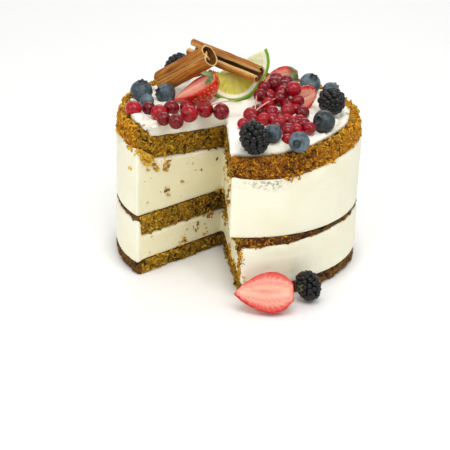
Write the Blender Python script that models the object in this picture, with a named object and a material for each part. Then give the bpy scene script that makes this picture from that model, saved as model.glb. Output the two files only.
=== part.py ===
"""Layered carrot cake with one wedge cut out, dressed with fruit, lime and cinnamon.

Sizes are in millimetres until they become mesh vertices, which are in metres.
The cake stands on z = 0 with its axis at the origin, and the cut wedge opens towards -Y.
"""
import math

import bmesh
import bpy
from mathutils import Matrix, Vector

MM = 0.001                     # metres in a millimetre
GAP = 0.3                      # clear air left between touching pieces

# The cake's rings: radius and the heights of its layers on the cut face.
RADIUS = 80.0
SECTORS = 44
BASE_SPONGE_TOP = 9.0
MIDDLE_SPONGE_BASE = 26.5
MIDDLE_SPONGE_TOP = 40.0
TOP_SPONGE_BASE = 70.0
TOP_SPONGE_THICKNESS = 14.0
DISH_RADIUS = 38.0              # the top sponge sags inside this radius
DISH_RISE = 2.8
RIM_FOOT = 89.0                 # where the sag meets the curled rim
CREAM_TOP = 96.0

# The same interfaces where they reach the outer wall at the front, and how far they drift.
WALL_LOWER_CREAM_TOP = 35.6
WALL_LOWER_CREAM_DRIFT = 3.8
WALL_BAND_THIN = 1.8
WALL_BAND_SWELL = 4.0
WALL_UPPER_CREAM_TOP = 80.0
WALL_UPPER_CREAM_DRIFT = 6.0
RIM_FRONT = 93.5
RIM_DRIFT = 5.0

# The missing wedge: where its two cuts meet, and the azimuths where they leave the cake.
WEDGE_APEX = (-8.0, 2.0)
WEDGE_REACH = 150.0
FRONT = -90.0
LEFT_CUT_LOW = -140.8
LEFT_CUT_MIDDLE = -141.5
LEFT_CUT_TOP = -146.0
RIGHT_CUT_LOW = -87.0
RIGHT_CUT_HIGH = -92.5

# The top cream's surface: how far inside the wall it starts to fall to the rim, and its rings.
RIM_INSET = 18.0
CREAM_RINGS = (54.0, 46.0, 38.0, 30.0, 22.0, 13.0)

# Low heaps of cream that carry the fruit: x, y, height, spread along x, spread along y.
CREAM_HEAPS = (
    (25.0, 12.0, 14.0, 10.5, 12.0),
    (31.0, -16.0, 3.5, 11.0, 10.0),
    (-18.0, 26.0, 4.0, 15.0, 13.0),
)

# How finely the fruit and the bark are drawn.
BERRY_SECTORS = 10
BRAMBLE_SECTORS = 14
BARK_THICKNESS = 1.2
CURL_STEP = 38.0                # degrees between the points of a curled edge


# ---------------------------------------------------------------- the cake's own outline

def swell(azimuth, centre, width):
    """A smooth bump of height 1 round the ring, centred on one azimuth, in degrees."""
    away = (azimuth - centre + 180.0) % 360.0 - 180.0
    return math.exp(-(away / width) ** 2)


def wall_radius(azimuth):
    """The spread cream is never a true circle: two slow waves run round it."""
    turn = math.radians(azimuth)
    return RADIUS + 0.45 * math.sin(3.0 * turn + 1.0) + 0.3 * math.sin(5.0 * turn + 2.2)


def lower_cream_edge(azimuth):
    return WALL_LOWER_CREAM_TOP + WALL_LOWER_CREAM_DRIFT * (1.0 - swell(azimuth, FRONT, 55.0))


def middle_sponge_edge(azimuth):
    band = WALL_BAND_THIN + WALL_BAND_SWELL * swell(azimuth, FRONT, 38.0)
    return lower_cream_edge(azimuth) + band


def upper_cream_edge(azimuth):
    drift = WALL_UPPER_CREAM_DRIFT * (1.0 - swell(azimuth, -72.0, 32.0))
    return WALL_UPPER_CREAM_TOP + drift


def rim_height(azimuth):
    return RIM_FRONT + RIM_DRIFT * (1.0 - swell(azimuth, -82.0, 38.0))


def cream_height(x, y):
    """The top cream: a level spread with heaps under the fruit and soft spatula waves."""
    height = CREAM_TOP
    for heap_x, heap_y, rise, spread_x, spread_y in CREAM_HEAPS:
        away = ((x - heap_x) / spread_x) ** 2 + ((y - heap_y) / spread_y) ** 2
        height += rise * math.exp(-0.5 * away)
    height += 0.5 * math.sin(x / 11.0 + 0.7) * math.cos(y / 9.0)
    return height + 0.3 * math.sin(x / 6.0 - 1.0) * math.sin(y / 7.0 + 2.0)


def rim_section(azimuth, level):
    """The fall from the cream's level to the sponge's curled rim, as (inset, height)."""
    rim = rim_height(azimuth)
    return [
        (RIM_INSET, level),
        (14.0, min(level, rim + 2.0) - 0.8),
        (10.5, rim - 0.9),
        (8.0, rim - 1.6),
        (4.0, rim),
        (2.0, rim - 3.5),
    ]


def top_surface(x, y):
    """Height of whatever a berry would rest on at this place."""
    azimuth = math.degrees(math.atan2(y, x))
    inset = wall_radius(azimuth) - math.hypot(x, y)
    section = rim_section(azimuth, cream_height(x, y))
    if inset >= section[0][0]:
        return section[0][1]
    for (outer_in, outer_z), (inner_in, inner_z) in zip(section, section[1:]):
        if inset >= inner_in:
            share = (outer_in - inset) / (outer_in - inner_in)
            return outer_z + share * (inner_z - outer_z)
    return section[-1][1]


def rest_height(x, y, radius):
    """Height of a ball's centre when it just clears the cream below it."""
    height = top_surface(x, y) + radius
    for ring in (0.4, 0.7, 0.95):
        dip = math.sqrt(1.0 - ring * ring)
        for step in range(8):
            turn = math.radians(45.0 * step)
            below = top_surface(x + ring * radius * math.cos(turn), y + ring * radius * math.sin(turn))
            height = max(height, below + radius * dip)
    return height + GAP


# ---------------------------------------------------------------- making objects

def new_material(name, colour, roughness):
    material = bpy.data.materials.new(name)
    material.use_nodes = True
    shader = material.node_tree.nodes["Principled BSDF"]
    shader.inputs["Base Color"].default_value = (*colour, 1.0)
    shader.inputs["Roughness"].default_value = roughness
    shader.inputs["Metallic"].default_value = 0.0
    return material


def add_object(name, vertices, faces, material, smooth=True):
    mesh = bpy.data.meshes.new(name)
    mesh.from_pydata([tuple(MM * value for value in vertex) for vertex in vertices], [], faces)
    mesh.materials.append(material)
    mesh.validate()
    if smooth:
        mesh.shade_smooth()
        mesh.set_sharp_from_angle(angle=math.radians(40.0))
    item = bpy.data.objects.new(name, mesh)
    bpy.context.collection.objects.link(item)
    return item


def place(item, at, along, facing):
    """Turn an object's +X along one direction and its +Z to face another, and move it."""
    x_axis = Vector(along).normalized()
    z_axis = (Vector(facing) - Vector(facing).dot(x_axis) * x_axis).normalized()
    y_axis = z_axis.cross(x_axis)
    turned = Matrix((x_axis, y_axis, z_axis)).transposed().to_4x4()
    item.matrix_world = Matrix.Translation(Vector(at) * MM) @ turned
    return item


def lathe(columns):
    """Faces and vertices of a closed turned shape from one (radius, z) outline per sector.

    Each outline starts and ends on the axis; x and y come from the sector's azimuth.
    """
    count = len(columns)
    inner = len(columns[0]) - 2
    vertices = [(0.0, 0.0, columns[0][0][1]), (0.0, 0.0, columns[0][-1][1])]
    for index, column in enumerate(columns):
        turn = 2.0 * math.pi * index / count
        for radius, height in column[1:-1]:
            vertices.append((radius * math.cos(turn), radius * math.sin(turn), height))
    faces = []
    for index in range(count):
        here = 2 + index * inner
        following = 2 + ((index + 1) % count) * inner
        faces.append((0, following, here))
        for step in range(inner - 1):
            faces.append((here + step, following + step, following + step + 1, here + step + 1))
        faces.append((1, here + inner - 1, following + inner - 1))
    return vertices, faces


# ---------------------------------------------------------------- sponge and cream

def cut_wedge(layer, left_azimuth, right_azimuth):
    """Take the missing wedge out of one layer with a three-sided prism."""
    corners = [WEDGE_APEX]
    for azimuth in (left_azimuth, right_azimuth):
        turn = math.radians(azimuth)
        edge = Vector((RADIUS * math.cos(turn), RADIUS * math.sin(turn)))
        run = (edge - Vector(WEDGE_APEX)).normalized() * WEDGE_REACH
        corners.append((WEDGE_APEX[0] + run.x, WEDGE_APEX[1] + run.y))
    vertices = [(x, y, z) for z in (-WEDGE_REACH, WEDGE_REACH) for x, y in corners]
    faces = [(2, 1, 0), (3, 4, 5), (0, 1, 4, 3), (1, 2, 5, 4), (2, 0, 3, 5)]
    cutter = add_object(layer.name + "_cutter", vertices, faces, layer.data.materials[0], smooth=False)
    cutter.hide_render = True
    cutter.display_type = "WIRE"
    cut = layer.modifiers.new("wedge", "BOOLEAN")
    cut.operation = "DIFFERENCE"
    cut.object = cutter


def add_layer(name, outline, material, left_azimuth, right_azimuth):
    """A full ring layer turned from outline(azimuth), then cut by the wedge."""
    columns = [outline(360.0 * index / SECTORS) for index in range(SECTORS)]
    vertices, faces = lathe(columns)
    layer = add_object(name, vertices, faces, material)
    cut_wedge(layer, left_azimuth, right_azimuth)
    return layer


def base_sponge(azimuth):
    edge = wall_radius(azimuth) - 0.6
    top = BASE_SPONGE_TOP - 0.5 * GAP
    return [(0, 0), (edge - 2, 0), (edge, 1.8), (edge, 7.0), (edge - 3.5, top), (0, top)]


def lower_cream(azimuth):
    edge = wall_radius(azimuth)
    base = BASE_SPONGE_TOP + 0.5 * GAP
    inside = MIDDLE_SPONGE_BASE - 0.5 * GAP
    lip = lower_cream_edge(azimuth) - 0.5 * GAP
    return [
        (0, base), (edge - 3.8, base), (edge - 0.1, 7.7), (edge, 9.0),
        (edge, lip - 1.2), (edge - 0.8, lip), (edge - 3.0, lip - 1.5), (edge - 4.0, inside), (0, inside),
    ]


def middle_sponge(azimuth):
    edge = wall_radius(azimuth)
    base = MIDDLE_SPONGE_BASE + 0.5 * GAP
    top = MIDDLE_SPONGE_TOP - 0.5 * GAP
    lip = lower_cream_edge(azimuth) + 0.5 * GAP
    band = middle_sponge_edge(azimuth) - 0.5 * GAP
    return [
        (0, base), (edge - 4.4, base), (edge - 3.2, lip - 1.3), (edge - 0.7, lip),
        (edge - 0.5, lip + 0.35), (edge - 0.5, band - 0.35), (edge - 0.9, band),
        (edge - 4.0, min(band, top)), (0, top),
    ]


def upper_cream(azimuth):
    edge = wall_radius(azimuth)
    base = MIDDLE_SPONGE_TOP + 0.5 * GAP
    band = middle_sponge_edge(azimuth) + 0.5 * GAP
    lip = upper_cream_edge(azimuth) - 0.5 * GAP
    return [
        (0, base), (edge - 4.0, max(band, base)), (edge - 0.8, band), (edge, band + 0.9),
        (edge, lip - 2.0), (edge - 1.2, lip), (edge - 5.0, lip - 2.6), (edge - 16.0, TOP_SPONGE_BASE + 4.8),
        (DISH_RADIUS, TOP_SPONGE_BASE + DISH_RISE), (0, TOP_SPONGE_BASE - 0.2),
    ]


def top_sponge(azimuth):
    edge = wall_radius(azimuth)
    lip = upper_cream_edge(azimuth) + 0.5 * GAP
    rim = rim_height(azimuth)
    top = TOP_SPONGE_BASE + TOP_SPONGE_THICKNESS
    return [
        (0, TOP_SPONGE_BASE + 0.2), (DISH_RADIUS, TOP_SPONGE_BASE + DISH_RISE + 0.4),
        (edge - 16.0, TOP_SPONGE_BASE + 5.2), (edge - 5.0, lip - 2.2), (edge - 1.8, lip + 0.2),
        (edge - 1.4, lip + 1.6), (edge - 2.0, rim - 3.0), (edge - 4.2, rim), (edge - 7.5, rim - 2.4),
        (edge - 15.0, RIM_FOOT), (DISH_RADIUS, top + DISH_RISE), (0, top),
    ]


def top_cream(azimuth):
    edge = wall_radius(azimuth)
    rim = rim_height(azimuth)
    turn = math.radians(azimuth)
    floor = TOP_SPONGE_BASE + TOP_SPONGE_THICKNESS + GAP
    outline = [
        (0, floor), (DISH_RADIUS, floor + DISH_RISE), (edge - 15.0, RIM_FOOT + 0.4), (edge - 9.0, rim - 2.2),
    ]
    shoulder = edge - RIM_INSET
    level = cream_height(shoulder * math.cos(turn), shoulder * math.sin(turn))
    section = rim_section(azimuth, level)
    outline += [(edge - inset, height) for inset, height in (section[2], section[1], section[0])]
    for radius in CREAM_RINGS:
        outline.append((radius, cream_height(radius * math.cos(turn), radius * math.sin(turn))))
    return outline + [(0, cream_height(0.0, 0.0))]


# ---------------------------------------------------------------- fruit

def add_blueberry(name, at, radius, crown, material):
    """A slightly flat ball with a ring of sepals round a shallow cup at its crown."""
    outline = [
        (0.0, -0.93), (0.52, -0.80), (0.87, -0.42), (1.0, 0.02), (0.88, 0.46),
        (0.58, 0.78), (0.40, 0.93), (0.29, 0.80), (0.0, 0.74),
    ]
    column = [(radius * r, radius * z) for r, z in outline]
    vertices, faces = lathe([column] * BERRY_SECTORS)
    side = Vector((0.0, 0.0, 1.0)) if abs(Vector(crown).normalized().z) < 0.9 else Vector((1.0, 0.0, 0.0))
    return place(add_object(name, vertices, faces, material), at, Vector(crown).cross(side), crown)


def add_currant(name, at, radius, material):
    ball = bmesh.new()
    bmesh.ops.create_icosphere(ball, subdivisions=2, radius=radius * MM)
    mesh = bpy.data.meshes.new(name)
    ball.to_mesh(mesh)
    ball.free()
    mesh.materials.append(material)
    mesh.shade_smooth()
    item = bpy.data.objects.new(name, mesh)
    bpy.context.collection.objects.link(item)
    item.location = Vector(at) * MM
    return item


def add_bramble(name, at, radius, length, along, material):
    """An egg of drupelets: rings of bumps, each ring turned by half a bump."""
    rings = 9
    columns = []
    for sector in range(BRAMBLE_SECTORS):
        column = [(0.0, -0.5 * length)]
        for ring in range(1, rings):
            polar = math.pi * ring / rings
            lump = 1.0 + 0.07 * math.cos(math.pi * (sector + ring))
            blunt = math.sin(polar) ** 0.8
            column.append((radius * blunt * lump, -0.5 * length * math.cos(polar)))
        column.append((0.0, 0.5 * length))
        columns.append(column)
    vertices, faces = lathe(columns)
    side = Vector((0.0, 0.0, 1.0)) if abs(Vector(along).normalized().z) < 0.9 else Vector((1.0, 0.0, 0.0))
    return place(add_object(name, vertices, faces, material), at, Vector(along).cross(side), along)


def add_strawberry_half(name, at, length, width, depth, along, facing, material):
    """Half a strawberry: +X from tip to stem, flat cut face on +Z, skin below it."""
    sections = 8
    spokes = 8
    vertices = [(-0.5 * length, 0.0, 0.0), (0.44 * length, 0.0, 0.0)]
    for step in range(1, sections + 1):
        share = step / (sections + 0.6)
        girth = math.sin(math.pi * share ** 1.35) ** 0.62
        for spoke in range(spokes + 1):
            turn = math.pi * spoke / spokes
            y = 0.5 * width * girth * math.cos(turn)
            vertices.append(((share - 0.5) * length, y, -depth * girth * math.sin(turn)))
    row = spokes + 1
    faces = []
    for spoke in range(spokes):
        faces.append((0, 2 + spoke, 3 + spoke))
        last = 2 + (sections - 1) * row + spoke
        faces.append((1, last + 1, last))
        for step in range(sections - 1):
            here = 2 + step * row + spoke
            faces.append((here, here + row, here + row + 1, here + 1))
    left = [2 + step * row for step in range(sections)]
    right = [index + spokes for index in left]
    faces.append((0, right[0], left[0]))
    for near, far, near_right, far_right in zip(left, left[1:], right, right[1:]):
        faces.append((near, near_right, far_right, far))
    faces.append((1, left[-1], right[-1]))
    return place(add_object(name, vertices, faces, material), at, along, facing)


def add_lime_half(name, at, radius, thickness, along, facing, material):
    """Half a round slice: straight edge along X through its middle, arc towards -Y."""
    steps = 14
    vertices = []
    for z in (-0.5 * thickness, 0.5 * thickness):
        for step in range(steps + 1):
            turn = math.pi + math.pi * step / steps
            vertices.append((radius * math.cos(turn), radius * math.sin(turn), z))
    count = steps + 1
    faces = [tuple(reversed(range(count))), tuple(range(count, 2 * count))]
    for step in range(count):
        following = (step + 1) % count
        faces.append((step, following, count + following, count + step))
    return place(add_object(name, vertices, faces, material), at, along, facing)


def add_quill(name, start, end, radius, curl_radius, opening, facing, material):
    """A cinnamon quill: a bark trough whose two edges curl inwards, drawn along its length.

    opening is the half angle, in degrees, at which each edge leaves the round and curls.
    """
    path = []
    for step in range(8):
        turn = math.radians(opening) * (step / 7.0)
        path.append((radius * math.cos(turn), radius * math.sin(turn), turn))
    centre = Vector((math.cos(math.radians(opening)), math.sin(math.radians(opening))))
    centre *= radius - curl_radius
    for step in range(1, 7):
        turn = math.radians(opening) + math.radians(CURL_STEP) * step
        path.append((centre.x + curl_radius * math.cos(turn), centre.y + curl_radius * math.sin(turn), turn))
    path = [(x, -y, -turn) for x, y, turn in reversed(path[1:])] + path
    span = (Vector(end) - Vector(start)).length
    vertices = []
    for x in (-0.5 * span, 0.5 * span):
        for side in (0.5 * BARK_THICKNESS, -0.5 * BARK_THICKNESS):
            for up, across, turn in path:
                vertices.append((x, across + side * math.sin(turn), -(up + side * math.cos(turn))))
    count = len(path)
    faces = []
    for step in range(count - 1):
        a, b = step, step + 1
        faces.append((a, b, b + 2 * count, a + 2 * count))
        faces.append((b + count, a + count, a + 3 * count, b + 3 * count))
        faces.append((b, a, a + count, b + count))
        faces.append((a + 2 * count, b + 2 * count, b + 3 * count, a + 3 * count))
    for step, flip in ((0, False), (count - 1, True)):
        strip = (step, step + 2 * count, step + 3 * count, step + count)
        faces.append(tuple(reversed(strip)) if flip else strip)
    middle = 0.5 * (Vector(start) + Vector(end))
    return place(add_object(name, vertices, faces, material), middle, Vector(end) - Vector(start), facing)


# Blueberries on the top: x, y, radius, direction of the crown.
BLUEBERRIES = (
    (-64.0, 10.5, 7.6, (0.1, -0.2, 1.0)),
    (-59.5, -3.0, 5.0, (-0.3, 0.4, 0.6)),
    (-47.8, 8.5, 7.1, (-0.8, -0.5, 0.35)),
    (20.7, -58.5, 6.2, (0.5, 0.6, 0.5)),
    (37.0, -67.0, 6.9, (-0.25, -0.85, 0.1)),
    (53.6, -35.5, 7.7, (-0.6, -0.75, 0.3)),
    (47.5, 36.0, 7.6, (0.3, -0.5, 0.8)),
    (61.0, 26.5, 6.2, (0.6, 0.5, 0.5)),
)

# Redcurrants of the left sprig, from the rim to the middle: x, y, radius, lift by its neighbours.
LEFT_CURRANTS = (
    (-67.0, -21.0, 5.4, 0.0), (-57.9, -14.0, 4.7, 0.0), (-50.7, -22.5, 5.4, 0.0), (-43.2, -13.0, 5.2, 0.0),
    (-47.3, -32.0, 4.6, 0.0), (-39.2, -37.5, 5.0, 0.0), (-31.4, -25.5, 5.7, 0.0), (-33.2, -9.6, 5.0, 0.0),
    (-21.6, -15.0, 5.5, 0.0), (-11.2, -18.0, 5.4, 0.0),
)
# Redcurrants of the right heap, which lie on each other as well as on the cream.
RIGHT_CURRANTS = (
    (24.0, 17.8, 4.1, 0.0), (30.9, 12.6, 4.1, 0.0), (22.4, 5.8, 4.5, 0.0), (15.9, -0.1, 4.0, 5.1),
    (34.9, -5.7, 4.7, 8.6), (13.4, -7.6, 4.1, 6.1), (26.5, -5.9, 4.7, 0.0), (37.6, -11.9, 3.9, 4.8),
    (18.4, -12.9, 4.0, 2.2), (31.1, -21.0, 4.4, 0.0), (40.3, -19.9, 4.3, 0.0), (20.9, -20.7, 4.4, 0.0),
    (7.5, -23.7, 4.5, 1.6), (15.7, -29.5, 4.2, 1.0), (3.0, -38.4, 3.6, 1.5), (26.5, -33.2, 3.7, 0.6),
    (34.3, -32.6, 3.7, 0.0), (40.9, -36.9, 3.8, 1.2), (44.2, -44.1, 3.7, 2.2), (30.6, -49.1, 3.8, 1.2),
    (29.9, -57.0, 3.3, 0.0), (36.4, -43.6, 3.7, 0.4),
)
TOP_BRAMBLES = (
    ((59.4, -7.5, 107.6), 9.2, 20.0, (0.2, -0.8, 0.1)),
    ((9.4, -71.5, 104.6), 9.2, 21.0, (-0.3, 0.4, 0.75)),
    ((-42.0, 53.0, 107.8), 9.0, 20.0, (0.5, 0.3, 0.6)),
)
FOOT_BRAMBLE = ((46.6, -79.5, 10.4), 8.0, 20.0, (-0.4, 0.15, 0.9))

# Strawberry halves: place of the cut face, length, width, depth, tip to stem, face.
STRAWBERRY_HALVES = (
    ((-28.5, 2.4, 111.0), 35.0, 22.0, 12.5, (0.80, -0.08, 0.52), (-0.52, -0.16, 0.84)),
    ((28.4, 35.2, 107.6), 26.0, 17.0, 8.0, (0.95, 0.1, 0.12), (0.0, -0.97, 0.24)),
    ((42.8, -1.5, 107.5), 17.0, 16.5, 7.0, (-0.25, 0.2, 0.9), (0.1, -0.9, 0.35)),
    ((19.4, -95.5, 12.6), 40.0, 27.0, 9.5, (0.99, 0.05, 0.06), (0.0, -0.75, 0.66)),
)

# Lime half slices: middle of the straight edge, radius, direction of that edge, face.
LIME_HALVES = (
    ((-4.2, 18.6, 115.8), 19.0, (1.0, 0.0, 0.02), (0.0, -0.87, 0.5)),
    ((0.5, 37.0, 118.2), 19.5, (0.87, 0.0, 0.49), (-0.05, -0.99, 0.12)),
)
LIME_THICKNESS = 4.5

# Cinnamon quills: lower end, upper end, radius, curl radius, half angle of the trough, face.
QUILLS = (
    ("quill_closed", (-52.0, 25.5, 105.8), (-19.5, 8.0, 131.0), 7.0, 2.3, 142.0, (0.35, -0.75, 0.6)),
    ("quill_open", (-33.0, 36.0, 127.5), (13.0, 2.0, 120.5), 5.3, 1.7, 112.0, (0.1, -0.9, 0.35)),
)


def build():
    for item in list(bpy.data.objects):
        bpy.data.objects.remove(item, do_unlink=True)

    sponge = new_material("carrot_sponge", (0.36, 0.17, 0.04), 0.9)
    cream = new_material("cream_cheese_frosting", (0.87, 0.84, 0.71), 0.5)
    blue = new_material("blueberry_skin", (0.09, 0.13, 0.19), 0.6)
    red = new_material("redcurrant_skin", (0.42, 0.01, 0.04), 0.2)
    black = new_material("bramble_skin", (0.02, 0.018, 0.025), 0.3)
    strawberry = new_material("strawberry", (0.65, 0.06, 0.04), 0.4)
    lime = new_material("lime", (0.5, 0.55, 0.08), 0.4)
    cinnamon = new_material("cinnamon_bark", (0.38, 0.16, 0.05), 0.8)

    low = (LEFT_CUT_LOW, RIGHT_CUT_LOW)
    middle = (LEFT_CUT_MIDDLE, RIGHT_CUT_LOW)
    high = (LEFT_CUT_MIDDLE, RIGHT_CUT_HIGH)
    top = (LEFT_CUT_TOP, RIGHT_CUT_HIGH)
    add_layer("sponge_bottom", base_sponge, sponge, *low)
    add_layer("cream_lower", lower_cream, cream, *low)
    add_layer("sponge_middle", middle_sponge, sponge, *middle)
    add_layer("cream_upper", upper_cream, cream, *high)
    add_layer("sponge_top", top_sponge, sponge, *top)
    add_layer("cream_top", top_cream, cream, *top)

    for index, (x, y, radius, crown) in enumerate(BLUEBERRIES, 1):
        at = (x, y, rest_height(x, y, radius))
        add_blueberry(f"blueberry_{index}", at, radius, crown, blue)
    for index, (x, y, radius, lift) in enumerate(LEFT_CURRANTS + RIGHT_CURRANTS, 1):
        place_at = (x, y, rest_height(x, y, radius) + lift)
        add_currant(f"redcurrant_{index:02d}", place_at, radius, red)
    for index, (at, radius, length, along) in enumerate(TOP_BRAMBLES + (FOOT_BRAMBLE,), 1):
        add_bramble(f"bramble_{index}", at, radius, length, along, black)
    for index, (at, length, width, depth, along, facing) in enumerate(STRAWBERRY_HALVES, 1):
        add_strawberry_half(f"strawberry_{index}", at, length, width, depth, along, facing, strawberry)
    for index, (at, radius, along, facing) in enumerate(LIME_HALVES, 1):
        add_lime_half(f"lime_{index}", at, radius, LIME_THICKNESS, along, facing, lime)
    for name, start, end, radius, curl, opening, facing in QUILLS:
        add_quill(name, start, end, radius, curl, opening, facing, cinnamon)


build()
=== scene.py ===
"""A carrot layer cake with a wedge cut out: its crumb, cream, fruit, lime and cinnamon."""

import math

import bmesh
import bpy
import numpy as np
from mathutils import Matrix, Vector


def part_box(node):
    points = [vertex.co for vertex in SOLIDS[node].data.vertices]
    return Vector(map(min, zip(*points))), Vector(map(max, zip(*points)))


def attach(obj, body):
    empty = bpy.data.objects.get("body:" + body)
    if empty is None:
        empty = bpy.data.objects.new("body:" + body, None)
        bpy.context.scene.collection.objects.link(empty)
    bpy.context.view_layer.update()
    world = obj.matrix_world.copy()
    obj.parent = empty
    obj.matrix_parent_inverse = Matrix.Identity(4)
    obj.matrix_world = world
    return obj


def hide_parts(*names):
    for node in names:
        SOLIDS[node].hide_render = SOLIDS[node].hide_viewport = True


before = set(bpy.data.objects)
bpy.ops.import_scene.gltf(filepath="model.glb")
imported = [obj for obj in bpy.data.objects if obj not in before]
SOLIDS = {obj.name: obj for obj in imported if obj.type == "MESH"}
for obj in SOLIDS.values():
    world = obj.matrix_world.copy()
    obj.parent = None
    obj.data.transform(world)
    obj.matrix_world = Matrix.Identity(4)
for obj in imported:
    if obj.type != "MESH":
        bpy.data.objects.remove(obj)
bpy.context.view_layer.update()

MM = 0.001
SECTORS = 44                        # flats round the turned layers of the frame
SCATTER_MARKS = ("shown", "pit", "cut", "smear", "crumbs", "face", "band", "corner", "tatter", "edge", "vein")
LAYERS = ("sponge_bottom", "cream_lower", "sponge_middle", "cream_upper", "sponge_top", "cream_top")
CAKE_RADIUS = 0.5 * (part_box("cream_lower")[1].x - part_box("cream_lower")[0].x)
CAKE_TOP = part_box("sponge_top")[1].z
LOOSE_BERRIES = 10                    # redcurrants on the left sprig; the rest are in the heap
BURIED_SHIFT = Vector((0.0, 2.4, -2.6)) * MM
BURIED_RADIUS = 4.5 * MM
CROWN_LOBES = 5
WARP = 1.6 * MM                       # how far a torn shred is bent out of its curl
CAMERA_LENS = 116.3
CAMERA_PLACE = (-0.00661, -0.8954, 0.41108)
CAMERA_LOOK = Vector((0.0, 0.91446, -0.40467))
CAMERA_LEVEL_UP = Vector((0.0, 0.40467, 0.91446))
CAMERA_ROLL = math.radians(1.749)
ROOM_LIGHT = 0.58
FLOOR_GAP = 0.4 * MM                  # keeps the floor clear of the cake's underside
SEED = 7
# Which way the leaves of a strawberry lie, where it still has them.
LEAFY = {"strawberry_1": np.array((0.3, -1.0, -0.1)), "strawberry_2": np.array((0.2, -0.6, 0.8))}
HEAP_PLUMP = 1.16                     # berries in the heap are pressed together
LOOSE_PLUMP = 1.05
# Hidden berries fill the gaps in the heap: each lies behind and below three numbered ones.
BURIED_BETWEEN = ((13, 15, 17), (14, 16, 17), (17, 18, 20), (16, 19, 17), (19, 22, 24), (20, 21, 18),
                  (22, 20, 26), (24, 26, 22), (26, 27, 20), (23, 24, 16), (25, 24, 23), (27, 21, 28),
                  (26, 30, 24), (11, 13, 12), (13, 15, 12), (26, 30, 32), (27, 28, 32))
SHADED_BERRY = "blueberry_6"          # this one is painted dark all over: painted shade
TOPPINGS = [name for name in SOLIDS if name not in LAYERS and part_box(name)[0].z > 0.5 * CAKE_TOP]
# Turned away from the axes, so that the lumps don't line up in rows.
GRAIN_TURN = np.array(Matrix.Rotation(0.7, 3, "X") @ Matrix.Rotation(0.5, 3, "Y")
                      @ Matrix.Rotation(0.9, 3, "Z"))


# ---------------------------------------------------------------- small tools

def colour(code):
    """An sRGB hex colour as linear light."""
    parts = [int(code[i:i + 2], 16) / 255.0 for i in (1, 3, 5)]
    linear = [c / 12.92 if c <= 0.04045 else ((c + 0.055) / 1.055) ** 2.4 for c in parts]
    return (*linear, 1.0)


def fill(tree, socket, value):
    """Give a socket a plain value or a link; a node as the value links its first live output."""
    if isinstance(value, bpy.types.Node):
        value = next(output for output in value.outputs if output.enabled)
    if isinstance(value, bpy.types.NodeSocket):
        tree.links.new(value, socket)
    else:
        socket.default_value = value


def add_node(tree, kind, settings=(), inputs=()):
    """Add one node, set its properties, and fill its sockets with values or with links.

    A colour ramp takes its stops as the setting "stops": (position, hex colour) pairs.
    """
    item = tree.nodes.new(kind)
    for key, value in dict(settings).items():
        if key == "stops":
            slots = item.color_ramp.elements
            while len(slots) < len(value):
                slots.new(0.5)
            for slot, (place, code) in zip(slots, value):
                slot.position = place
                slot.color = colour(code)
        else:
            setattr(item, key, value)
    for key, value in dict(inputs).items():
        fill(tree, item.inputs[key], value)
    return item


def grain(points, size, seed):
    """Smooth random values from -1 to 1 in lumps of one size, at an array of points."""
    cell = points @ GRAIN_TURN / size + 500.0
    base = np.floor(cell).astype(np.int64)
    part = cell - base
    part = part * part * (3.0 - 2.0 * part)
    total = np.zeros(len(points))
    for corner in range(8):
        step = np.array([corner & 1, corner >> 1 & 1, corner >> 2 & 1])
        at = base + step
        key = at[:, 0] * 374761393 + at[:, 1] * 668265263 + at[:, 2] * 1274126177 + seed * 1442695041
        key = (key ^ (key >> 13)) * 1103515245
        value = ((key ^ (key >> 16)) & 0xFFFF) / 32767.5 - 1.0
        total += np.prod(np.where(step == 1, part, 1.0 - part), axis=1) * value
    return total


def soft_step(value, low, high):
    """A smooth rise from 0 at low to 1 at high."""
    share = np.clip((value - low) / (high - low), 0.0, 1.0)
    return share * share * (3.0 - 2.0 * share)


def points_of(mesh, kind="co"):
    """A mesh's points, or with kind "normal" the directions they face, as an array."""
    flat = np.empty(len(mesh.vertices) * 3)
    mesh.vertices.foreach_get(kind, flat)
    return flat.reshape(-1, 3)


def from_axis(points):
    """How far each point is from the cake's upright axis."""
    return np.hypot(points[:, 0], points[:, 1])


def azimuth_of(points):
    """Each point's direction round the axis, in degrees from +X."""
    return np.degrees(np.arctan2(points[:, 1], points[:, 0]))


def move_points(mesh, points):
    """Put a mesh's points at new places."""
    mesh.vertices.foreach_set("co", np.ascontiguousarray(points, dtype=np.float32).ravel())
    mesh.update()


def mark(mesh, name, values):
    """Keep one number for each point, for a material or a scatter to read."""
    layer = mesh.attributes.new(name, "FLOAT", "POINT")
    layer.data.foreach_set("value", np.ascontiguousarray(values, dtype=np.float32))


def new_piece(name, mesh, material, replaced=(), smooth=True):
    """A finished piece: at the origin, riding on the cake, with its finish."""
    mesh.name = name
    mesh.materials.clear()
    mesh.materials.append(material)
    if smooth:
        mesh.shade_smooth()
    piece = bpy.data.objects.new(name, mesh)
    bpy.context.collection.objects.link(piece)
    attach(piece, "root")
    if replaced:
        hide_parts(*replaced)
    return piece


def mesh_from(vertices, faces):
    """A new mesh from lists of points and faces."""
    mesh = bpy.data.meshes.new("shape")
    mesh.from_pydata([tuple(v) for v in vertices], [], faces)
    mesh.validate()
    mesh.update()
    return mesh


def plain_mesh(holder):
    """What an object's modifiers make of it, as a plain mesh; the object is then removed."""
    depsgraph = bpy.context.evaluated_depsgraph_get()
    mesh = bpy.data.meshes.new_from_object(holder.evaluated_get(depsgraph))
    old = holder.data
    bpy.data.objects.remove(holder)
    bpy.data.meshes.remove(old)
    return mesh


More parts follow.
